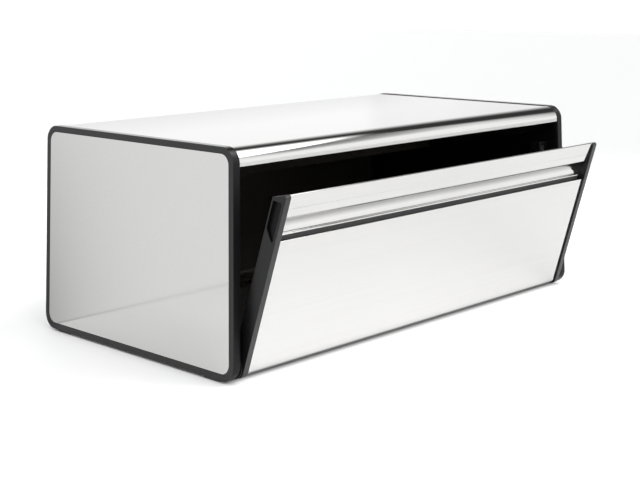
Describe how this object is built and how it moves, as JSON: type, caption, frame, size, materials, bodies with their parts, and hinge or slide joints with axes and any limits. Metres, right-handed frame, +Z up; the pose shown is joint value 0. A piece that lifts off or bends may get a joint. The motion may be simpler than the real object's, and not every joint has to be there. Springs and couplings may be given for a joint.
{
  "type": "bread bin",
  "caption": "Fall-front bread bin: folded steel shell between two dark moulded end caps, with a steel door hinged along its bottom edge.",
  "frame": {"origin": "centre of the base panel's underside", "axes": "+X along the width, +Z up, the door faces -Y"},
  "size_m": [0.465, 0.2977, 0.1818],
  "materials": {
    "steel": "bright polished stainless steel",
    "cap_plastic": "fine moulded texture, dark grey",
    "rubber": "soft matt rubber",
    "liner": "smooth dark inner panel",
    "pin_steel": "zinc plated steel",
    "magnet": "sintered magnet"
  },
  "bodies": {
    "casing": {"wrap_shell": "steel", "end_cap_left": "cap_plastic", "end_cap_right": "cap_plastic", "side_panel_left": "steel", "side_panel_right": "steel", "foot_front_left": "rubber", "foot_front_right": "rubber", "foot_rear_left": "rubber", "foot_rear_right": "rubber", "hinge_pin_left": "pin_steel", "hinge_pin_right": "pin_steel", "magnet_holder_left": "cap_plastic", "magnet_holder_right": "cap_plastic", "catch_magnet_left": "magnet", "catch_magnet_right": "magnet", "base_screw_front_left": "pin_steel", "base_screw_rear_left": "pin_steel", "base_screw_front_right": "pin_steel", "base_screw_rear_right": "pin_steel"},
    "door": {"door_front_panel": "steel", "door_grip_rail": "steel", "door_inner_panel": "liner", "door_end_cap_left": "cap_plastic", "door_end_cap_right": "cap_plastic", "hinge_bush_left": "cap_plastic", "hinge_bush_right": "cap_plastic", "strike_plate_left": "pin_steel", "strike_plate_right": "pin_steel", "door_screw_lower_left": "pin_steel", "door_screw_upper_left": "pin_steel", "door_screw_lower_right": "pin_steel", "door_screw_upper_right": "pin_steel"}
  },
  "joints": [
    {"name": "door_hinge", "type": "hinge", "parent": "casing", "child": "door", "pos_m": [0, -0.1155, 0.0089], "axis": [1, 0, 0], "range_deg": [-19, 71]}
  ]
}
